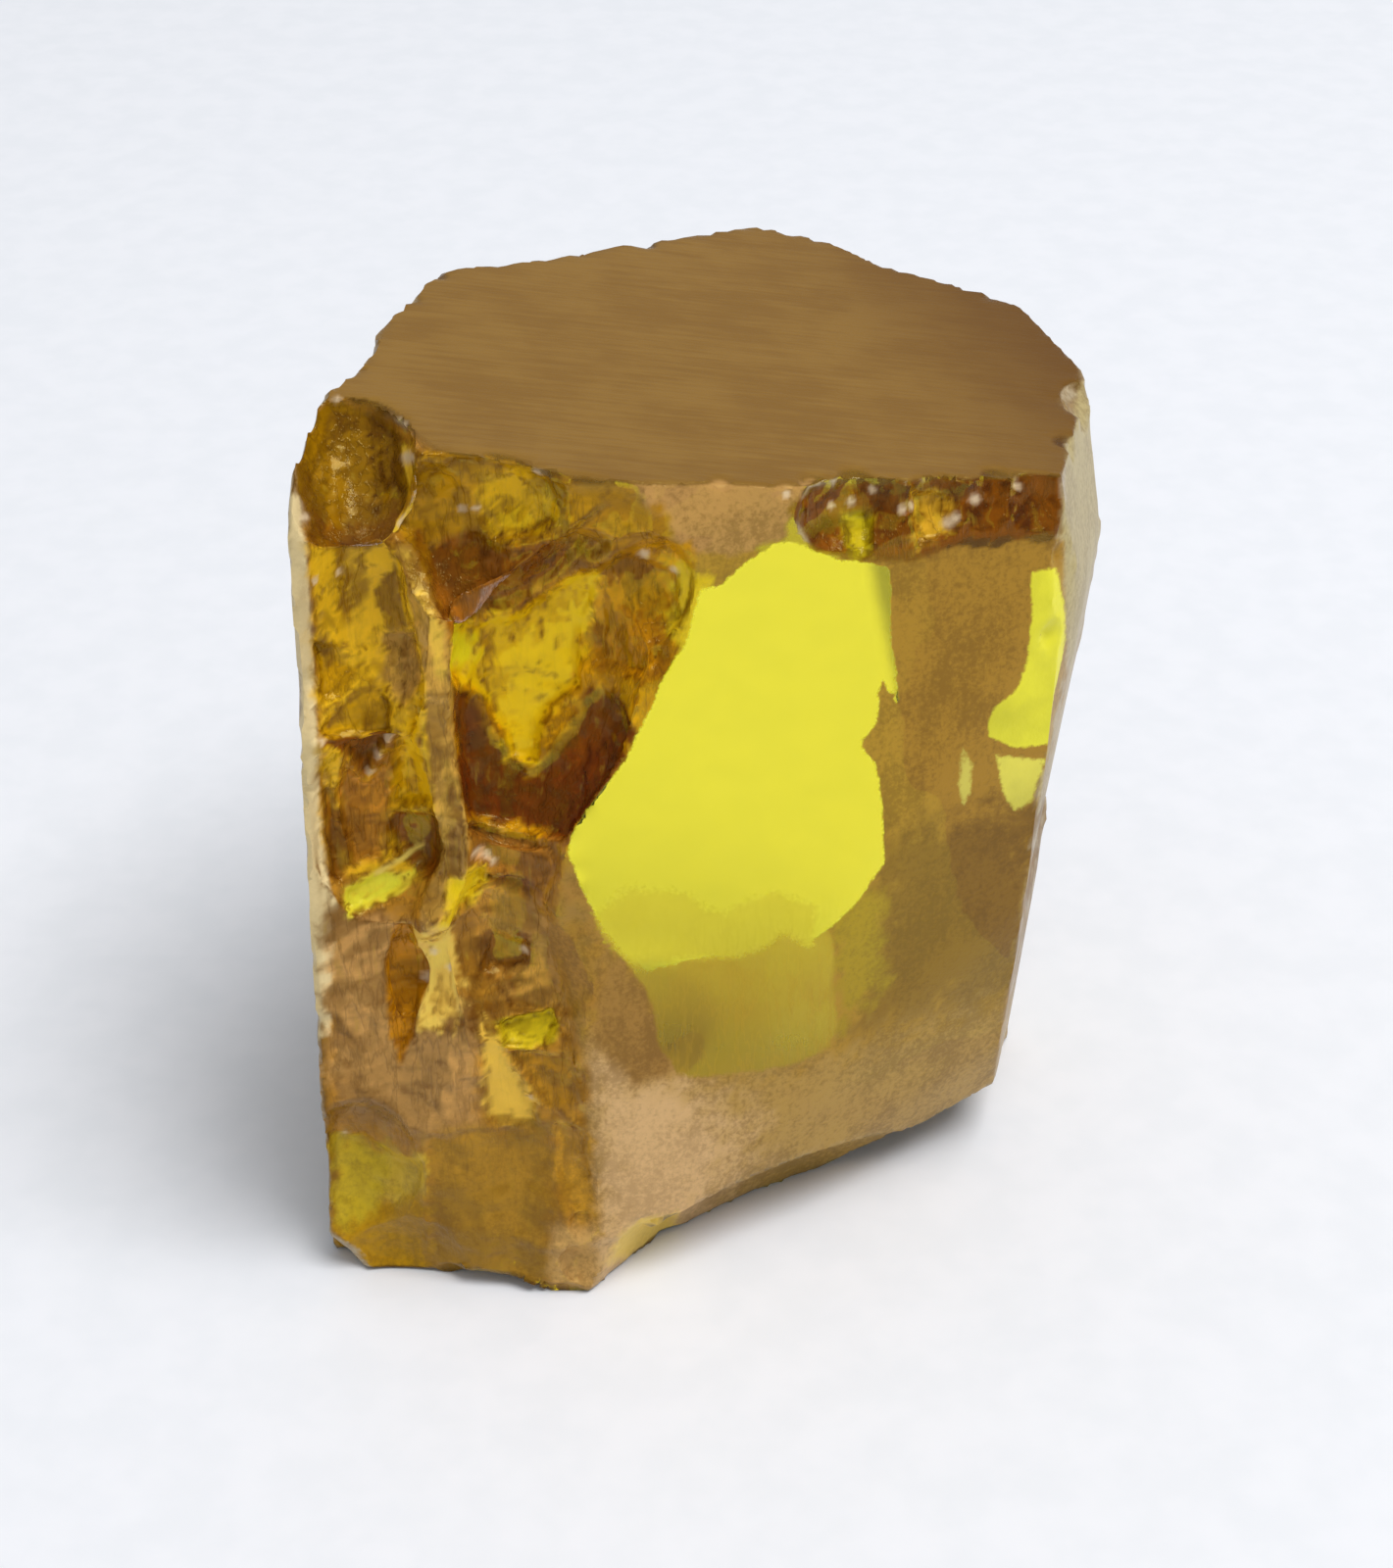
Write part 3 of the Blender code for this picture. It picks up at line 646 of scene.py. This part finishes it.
def break_relief(points, rim, places, seen, depths):
    """How far the fine relief of the breaks cuts into each point, in mm."""
    within = np.minimum(outline_depth(places, SHATTERED) / PIXELS_PER_MM, seen * TURN_GAIN)
    shattered = step(*RELIEF_EDGE, within)
    cut = shattered * sum(height * np.abs(cloud_at(points, scale, 3, seed))
                          for height, scale, seed in ROUGHNESS)
    cut = chip_breaks(cut, points, rim, shattered)
    cut = sink_facets(cut, points, places, depths)
    beside = -depths["blade"]
    cut = cut + HOLLOW_DEPTH * shattered * step(*HOLLOW_NEAR, beside) * (1 - step(*HOLLOW_FAR, beside))
    cut = ripple_breaks(cut, points, places, depths)
    return cut * step(0.0, WINDOW_MARGIN, -depths["window"])


# Where the stone counts as broken, and how much its facets are painted lighter or darker, as if each were lit
# on its own. The foot is the calmest.
BREAK_EDGE = (-0.1, 0.3)
FOOT_SHARE = 0.25
FOOT_HEIGHTS = (3.0, 9.0)
FACET_TURNS = 3.2
FACET_DRIFT = 0.12
FACET_CONTRAST = 0.85
DIM_POWERS = np.array((1.0, 1.35, 1.7))

# Tones of the weathered and broken surface where no mark lies, and of the painted glints.
SKIN = np.array(srgb(196, 176, 142))
SKIN_AMBER = np.array(srgb(172, 132, 66))
BROKEN = np.array(srgb(150, 108, 26))
BROKEN_DARK = np.array(srgb(112, 66, 10))
# Painted highlight: the pale tone of the glints.
GLINT_TONE = np.array((0.86, 0.66, 0.42, 1.0))
GLINT_SHARE = 0.85
VEIL_GAIN = np.array((1.40, 1.32, 0.78, 1.0))
SKIN_TILT = (0.48, 0.62)
SKIN_WOBBLE = 0.05
BACK_BAND = (0.05, 0.3)

# Shares of clear stone.
BREAK_CLEAR = 0.45
SKIN_CLEAR = 0.08
SKIN_CLEAR_SPOTS = 0.12
BACK_CLEAR = 0.97

# Bright tones stay clean of flecks and cracks.
BRIGHT_TONES = (0.35, 0.6)
BRIGHT_CALM = 0.8
FLECK_SHARE = 0.48
BREAK_FLECKS = 0.34
BRIGHTEST = 0.97
DARKEST = 0.002


def turned_to_eye(points, normals):
    """How far the surface turns to the eye at each point, above 0 where a mark may lie."""
    to_eye = np.array(EYE) - points
    to_eye /= np.linalg.norm(to_eye, axis=1)[:, None]
    return (normals * to_eye).sum(1) - TURN_LEAST


def mark_depths(places, seen):
    """How deep each point lies inside each mark and window, in mm."""
    depths = {}
    for name, (outline, *_) in {**PATCHES, **WINDOWS}.items():
        turned = seen - (WINDOW_TURN if name in WINDOWS else 0)
        depths[name] = np.minimum(outline_depth(places, outline) / PIXELS_PER_MM, turned * TURN_GAIN)
    return depths


def how_broken(points, places, seen, depths):
    """How broken the surface is at each point, from 0 to 1."""
    within = np.minimum(outline_depth(places, SHATTERED) / PIXELS_PER_MM, seen * TURN_GAIN)
    broken = step(*BREAK_EDGE, np.maximum(within, depths["chip_row"]))
    return broken * (FOOT_SHARE + (1 - FOOT_SHARE) * step(*FOOT_HEIGHTS, points[:, 2]))


def lay_marks(points, normals, depths):
    """The tone and the share of clear stone at each point: skin, breaks and back, and the marks over them."""
    wobble = cloud_at(points, 0.45, 3, 1.0)
    torn = cloud_at(points, 1.9, 3, 6.0)
    skin = step(*SKIN_TILT, np.abs(normals[:, 0]) + wobble * SKIN_WOBBLE)
    on_back = 1 - step(*BACK_BAND, np.abs(height_over(points, BACK_PLANE)))
    tone = BROKEN + (BROKEN_DARK - BROKEN) * step(-0.3, 0.5, wobble)[:, None]
    worn_skin = SKIN + (SKIN_AMBER - SKIN) * step(-0.1, 0.45, torn * 0.5 + wobble * 0.7)[:, None]
    tone = tone + (worn_skin - tone) * skin[:, None]
    clear = BREAK_CLEAR * (1 - skin) + (SKIN_CLEAR + SKIN_CLEAR_SPOTS * step(0.0, 0.4, wobble)) * skin
    clear = clear + (BACK_CLEAR - clear) * on_back
    for name, (_, colour, share, soft, ragged) in PATCHES.items():
        mask = step(-soft, soft, depths[name] + torn * ragged)
        tone = tone + (np.array(colour) * VEIL_GAIN - tone) * mask[:, None]
        clear = clear + (share - clear) * mask
    return tone, clear


def lay_painted_glints(tone, broken, places, seen):
    """The tone and the brokenness with the painted glints in them: pale dots that stand in for highlights."""
    for across, down, radius in PAINTED_GLINTS:
        gap = np.hypot(*(places - (across, down)).T)
        mask = GLINT_SHARE * step(radius, radius * 0.3, gap) * (seen > 0)
        tone = tone + (GLINT_TONE - tone) * mask[:, None]
        broken = broken * (1 - mask)
    return tone, broken


# The stone: its fine mesh, its relief, and the values that its finish reads.
stone_mesh = fine_copy(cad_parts["zircon"])
points, rim = shape_stone(stone_mesh)
normals = read_normals(stone_mesh)
seen = turned_to_eye(points, normals)
places = seen_at(points)
depths = mark_depths(places, seen)
cut = break_relief(points, rim, places, seen, depths)
cut = np.minimum(cut, WALL_SHARE * wall_under(stone_mesh, points, normals, cut > LEAST_CUT))
points -= normals * cut[:, None]
write_points(stone_mesh, points)
points = blunt(stone_mesh, points)
crease(stone_mesh)
# Painted light: each broken facet is made lighter or darker by the way that it turns.
painted_facet_light = cloud_at(read_normals(stone_mesh) * FACET_TURNS + points * FACET_DRIFT, 1.0, 2, 4.0)
tone, clear = lay_marks(points, normals, depths)
# Painted glints: pale highlight dots laid over the tone.
tone, broken = lay_painted_glints(tone, how_broken(points, places, seen, depths), places, seen)
glow = (1 + FACET_CONTRAST * painted_facet_light * broken)[:, None]
tone[:, :3] *= glow.clip(1.0, 2.0) * glow.clip(0.1, 1.0) ** DIM_POWERS
calm = 1 - BRIGHT_CALM * step(*BRIGHT_TONES, tone[:, 1])
tone = (tone / (tone.max(axis=1) / BRIGHTEST).clip(1.0)[:, None]).clip(DARKEST)
add_values(stone_mesh, "clear", clear)
add_values(stone_mesh, "broken", broken * calm)
add_values(stone_mesh, "flecked", (FLECK_SHARE - broken * BREAK_FLECKS) * calm)
tones = stone_mesh.attributes.new("tone", "FLOAT_COLOR", "POINT")
tones.data.foreach_set("color", tone.astype(np.float32).ravel())
for name in WINDOWS:
    add_values(stone_mesh, name, depths[name])
write_points(stone_mesh, points * MM)
stone_mesh.name = "broken_stone"
stone = bpy.data.objects.new("broken_stone", stone_mesh)
bpy.context.scene.collection.objects.link(stone)


class Field:
    """A number that changes over the surface, written in sums as other numbers are."""

    def __init__(self, socket):
        self.socket = socket

    def maths(self, operation, *others, swapped=False):
        """A Math node on this number and the others."""
        values = [self, *others]
        if swapped:
            values.reverse()
        tree = self.socket.id_data
        made = add_node(tree, "ShaderNodeMath", {"operation": operation}, dict(enumerate(values)))
        return Field(made.outputs[0])

    def __add__(self, other):
        return self.maths("ADD", other)

    __radd__ = __add__

    def __sub__(self, other):
        return self.maths("SUBTRACT", other)

    def __rsub__(self, other):
        return self.maths("SUBTRACT", other, swapped=True)

    def __mul__(self, other):
        return self.maths("MULTIPLY", other)

    __rmul__ = __mul__

    def least(self, other):
        return self.maths("MINIMUM", other)

    def size(self):
        return self.maths("ABSOLUTE")

    def eased(self, low, high):
        """From 0 at low to 1 at high, eased at both ends."""
        settings = {"interpolation_type": "SMOOTHSTEP"}
        sockets = {"Value": self, "From Min": low, "From Max": high}
        return Field(add_node(self.socket.id_data, "ShaderNodeMapRange", settings, sockets).outputs["Result"])


def add_node(tree, kind, settings=None, sockets=None):
    """A node of a kind, with its settings made first and then the values or links of its sockets."""
    made = tree.nodes.new(kind)
    for name, value in (settings or {}).items():
        setattr(made, name, value)
    for name, value in (sockets or {}).items():
        if isinstance(value, Field):
            value = value.socket
        if isinstance(value, bpy.types.NodeSocket):
            tree.links.new(value, made.inputs[name])
        else:
            made.inputs[name].default_value = value
    return made


def new_finish(name):
    """An empty node material: the material, its tree and its output."""
    material = bpy.data.materials.new(name)
    material.use_nodes = True
    tree = material.node_tree
    tree.nodes.clear()
    return material, tree, add_node(tree, "ShaderNodeOutputMaterial")


def blend_colours(tree, factor, first, second):
    """A mix of two colours."""
    made = add_node(tree, "ShaderNodeMix", {"data_type": "RGBA", "clamp_factor": True},
                    {0: factor, 6: first, 7: second})
    return made.outputs[2]


def stretched(tree, place, scale):
    """The place vector with each axis scaled, for texture that is drawn out one way."""
    return add_node(tree, "ShaderNodeVectorMath", {"operation": "MULTIPLY"}, {0: place, 1: scale}).outputs[0]


def cloud(tree, place, scale, detail, roughness=0.55):
    """Soft noise about 0.5."""
    made = add_node(tree, "ShaderNodeTexNoise", {"noise_dimensions": "3D"},
                    {"Vector": place, "Scale": scale, "Detail": detail, "Roughness": roughness})
    return Field(made.outputs["Fac"])


def plane_height(tree, place, plane):
    """How far the surface stands out from a plane, in mm."""
    outward = plane[1].normalized()
    along = add_node(tree, "ShaderNodeVectorMath", {"operation": "DOT_PRODUCT"}, {0: place, 1: outward})
    return Field(along.outputs["Value"]) - plane[0].dot(outward)


# The finish of the stone: tones of the ground top, of what lies over the marks, and the clear stone.
GROUND_TOP = srgb(143, 106, 46)
GROUND_TOP_DARK = srgb(132, 95, 38)
GROUND_TOP_RIGHT = srgb(98, 60, 14)
RIGHT_SIDE = (Vector((3.5, 0.0, 0.0)), Vector((1.0, 0.3, 0.0)))
LOW_DOWN = (Vector((0.0, 0.0, 15.0)), Vector((0.0, 0.0, -1.0)))
TOP_BAND = (0.03, 0.1)
DARK_FLECK = (0.14, 0.06, 0.012, 1.0)
DARK_LINE = (0.10, 0.035, 0.002, 1.0)
PALE_STRAND = (0.55, 0.36, 0.03, 1.0)
DUSK = (0.14, 0.045, 0.002, 1.0)
MOTTLE_SCALE = 0.4
GRAIN_SCALE = 6.0
STRAND_STRETCH = (2.6, 2.6, 0.5)
TOP_STRETCH = (0.35, 5.0, 1.0)
LINE_SHARE = 0.30
DUSK_SHARE = 0.42
VEIN_SHARE = 0.16
VEIL_ROUGHNESS = 0.36
BREAK_GLOSS = 0.26
VEIL_IOR = 1.6
VEIL_SPECULAR = 0.22
RELIEF_STRENGTH = 0.55
RELIEF_HEIGHT = 0.00005
STONE_IOR = 1.95
STONE_TINT = (1.0, 0.98, 0.8, 1.0)
STONE_ROUGHNESS = 0.02
ABSORBED = (0.995, 0.97, 0.20, 1.0)
ABSORPTION = 200.0
GLASS_SHEEN = (0.35, 0.33, 0.2, 1.0)
VEIL_SHEEN = (0.9, 0.75, 0.25, 1.0)


def stone_finish():
    """Clear amber stone, veiled where it is ground, weathered or full of cracks."""
    material, tree, output = new_finish("zircon_amber")
    coordinates = add_node(tree, "ShaderNodeTexCoord")
    place = stretched(tree, coordinates.outputs["Object"], (1 / MM,) * 3)
    mottle = cloud(tree, place, MOTTLE_SCALE, 3.0)
    grain = cloud(tree, place, GRAIN_SCALE, 2.0, 0.7)
    ragged = grain * 0.3 + mottle * 0.7 - 0.5
    on_top = 1 - plane_height(tree, place, TOP_PLANE).size().eased(*TOP_BAND)
    drawn = add_node(tree, "ShaderNodeAttribute", {"attribute_name": "tone"})
    broken = Field(add_node(tree, "ShaderNodeAttribute", {"attribute_name": "broken"}).outputs["Fac"])
    drawn_out = add_node(tree, "ShaderNodeMix", {"data_type": "VECTOR"}, {
        0: on_top, 4: stretched(tree, place, STRAND_STRETCH), 5: stretched(tree, place, TOP_STRETCH)})
    strands = cloud(tree, drawn_out.outputs[1], 1.0, 3.0, 0.6)
    flecks = (grain * 0.4 + mottle * 0.4 + strands * 0.2).eased(0.42, 0.60)
    flecked = Field(add_node(tree, "ShaderNodeAttribute", {"attribute_name": "flecked"}).outputs["Fac"])
    veil = blend_colours(tree, flecks * flecked, drawn.outputs["Color"], DARK_FLECK)
    lines = 1 - ((strands - 0.5).size() * 18).least(1)
    veil = blend_colours(tree, lines * broken * LINE_SHARE, veil, DARK_LINE)
    veil = blend_colours(tree, strands.eased(0.60, 0.74) * broken * LINE_SHARE, veil, PALE_STRAND)
    veil = blend_colours(tree, mottle.eased(0.50, 0.60) * broken * DUSK_SHARE, veil, DUSK)
    veins = lines * plane_height(tree, place, LOW_DOWN).eased(0.0, 8.0) * VEIN_SHARE
    top = blend_colours(tree, (mottle * 0.55 + strands * 0.45).eased(0.38, 0.62), GROUND_TOP_DARK, GROUND_TOP)
    to_right = plane_height(tree, place, RIGHT_SIDE).eased(0.0, 9.0) * 0.8
    top = blend_colours(tree, to_right, top, GROUND_TOP_RIGHT)
    veil = blend_colours(tree, on_top, veil, top)
    share = Field(add_node(tree, "ShaderNodeAttribute", {"attribute_name": "clear"}).outputs["Fac"])
    clear = share * (1 - on_top)
    for name, (_, window_share, soft, torn) in WINDOWS.items():
        reading = Field(add_node(tree, "ShaderNodeAttribute", {"attribute_name": name}).outputs["Fac"])
        mask = (reading + ragged * (torn * 4)).eased(-soft, soft)
        # The windows' painted light goes over the veil.
        veil = blend_colours(tree, mask, veil, PAINTED_WINDOW_LIGHT[name])
        clear = clear + (window_share - veins + (mottle - 0.5) * (1 - window_share) - clear) * mask
    rough = VEIL_ROUGHNESS - broken * (BREAK_GLOSS - on_top * BREAK_GLOSS) + grain * 0.1
    rough = rough * (1 - clear.eased(0.6, 0.95) * 0.9)
    relief = on_top * strands * 0.5 + grain * 0.5 + lines * broken * 0.6
    bump = add_node(tree, "ShaderNodeBump", None, {
        "Strength": RELIEF_STRENGTH, "Distance": RELIEF_HEIGHT, "Height": relief})
    glass = add_node(tree, "ShaderNodeBsdfPrincipled", None, {
        "Base Color": STONE_TINT, "Roughness": STONE_ROUGHNESS, "IOR": STONE_IOR, "Transmission Weight": 1.0,
        "Specular Tint": GLASS_SHEEN})
    veiled = add_node(tree, "ShaderNodeBsdfPrincipled", None, {
        "Base Color": veil, "Roughness": rough, "IOR": VEIL_IOR, "Specular IOR Level": VEIL_SPECULAR,
        "Specular Tint": VEIL_SHEEN, "Normal": bump.outputs["Normal"]})
    both = add_node(tree, "ShaderNodeMixShader", None, {
        0: clear, 1: veiled.outputs["BSDF"], 2: glass.outputs["BSDF"]})
    inside = add_node(tree, "ShaderNodeVolumeAbsorption", None, {"Color": ABSORBED, "Density": ABSORPTION})
    tree.links.new(both.outputs[0], output.inputs["Surface"])
    tree.links.new(inside.outputs[0], output.inputs["Volume"])
    return material


PAPER_DARK = (0.84, 0.855, 0.89, 1.0)
PAPER_LIGHT = (0.87, 0.88, 0.915, 1.0)


def paper_finish():
    """White paper with a faint fibrous mottle."""
    material, tree, output = new_finish("white_paper")
    coordinates = add_node(tree, "ShaderNodeTexCoord")
    fibres = cloud(tree, stretched(tree, coordinates.outputs["Object"], (1 / MM,) * 3), 0.5, 2.0)
    tone = blend_colours(tree, fibres.eased(0.3, 0.7), PAPER_DARK, PAPER_LIGHT)
    paper = add_node(tree, "ShaderNodeBsdfPrincipled", None, {
        "Base Color": tone, "Roughness": 0.95, "Specular IOR Level": 0.1})
    tree.links.new(paper.outputs[0], output.inputs["Surface"])
    return material


stone_mesh.materials.append(stone_finish())
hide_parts("zircon")
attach(stone, "root")

# The sheet of paper that the stone stands on, in metres as all that follows.
PAPER_HALF = 0.9
PAPER_DROP = 0.00002
paper_mesh = bpy.data.meshes.new("paper")
corners = [(x * PAPER_HALF, y * PAPER_HALF, 0) for x, y in ((-1, -1), (1, -1), (1, 1), (-1, 1))]
paper_mesh.from_pydata(corners, [], [(0, 1, 2, 3)])
paper = bpy.data.objects.new("paper", paper_mesh)
paper.location.z = -PAPER_DROP
paper_mesh.materials.append(paper_finish())
bpy.context.scene.collection.objects.link(paper)


def add_light(name, place, target, size, power, colour):
    """A square soft light at a place, turned to a target."""
    lamp = bpy.data.lights.new(name, "AREA")
    lamp.size = size
    lamp.energy = power
    lamp.color = colour
    holder = bpy.data.objects.new(name, lamp)
    holder.location = place
    holder.rotation_euler = (Vector(target) - Vector(place)).to_track_quat("-Z", "Y").to_euler()
    bpy.context.scene.collection.objects.link(holder)


add_light("window_light", (0.20, -0.12, 0.59), (0.0, 0.0, 0.01), 0.33, 3.00, (1.0, 0.99, 0.98))

# The room, brighter overhead than low down.
SKY_TONE = (0.91, 0.95, 1.0, 1.0)
SKY_LOW = 0.25
SKY_RISE = 0.31
sky = bpy.data.worlds.new("pale_room")
sky.use_nodes = True
backdrop = sky.node_tree.nodes["Background"]
backdrop.inputs["Color"].default_value = SKY_TONE
gaze = add_node(sky.node_tree, "ShaderNodeTexCoord")
upward = add_node(sky.node_tree, "ShaderNodeVectorMath", {"operation": "DOT_PRODUCT"},
                  {0: gaze.outputs["Generated"], 1: (0.0, 0.0, 1.0)})
strength = Field(upward.outputs["Value"]) * SKY_RISE + SKY_LOW
sky.node_tree.links.new(strength.socket, backdrop.inputs["Strength"])
scene = bpy.context.scene
scene.world = sky

camera_data = bpy.data.cameras.new("camera")
camera_data.lens = LENS
camera_data.sensor_width = SENSOR
camera_data.clip_start = 0.002
camera_data.clip_end = 10.0
camera = bpy.data.objects.new("camera", camera_data)
camera.location = EYE * MM
camera.rotation_euler = SIGHT.to_track_quat("-Z", "Y").to_euler()
scene.collection.objects.link(camera)
scene.camera = camera

scene.view_settings.view_transform = "Standard"
scene.cycles.use_denoising = True
scene.cycles.max_bounces = 10
scene.cycles.transmission_bounces = 10
scene.cycles.glossy_bounces = 5
scene.cycles.diffuse_bounces = 2
scene.cycles.sample_clamp_indirect = 6.0
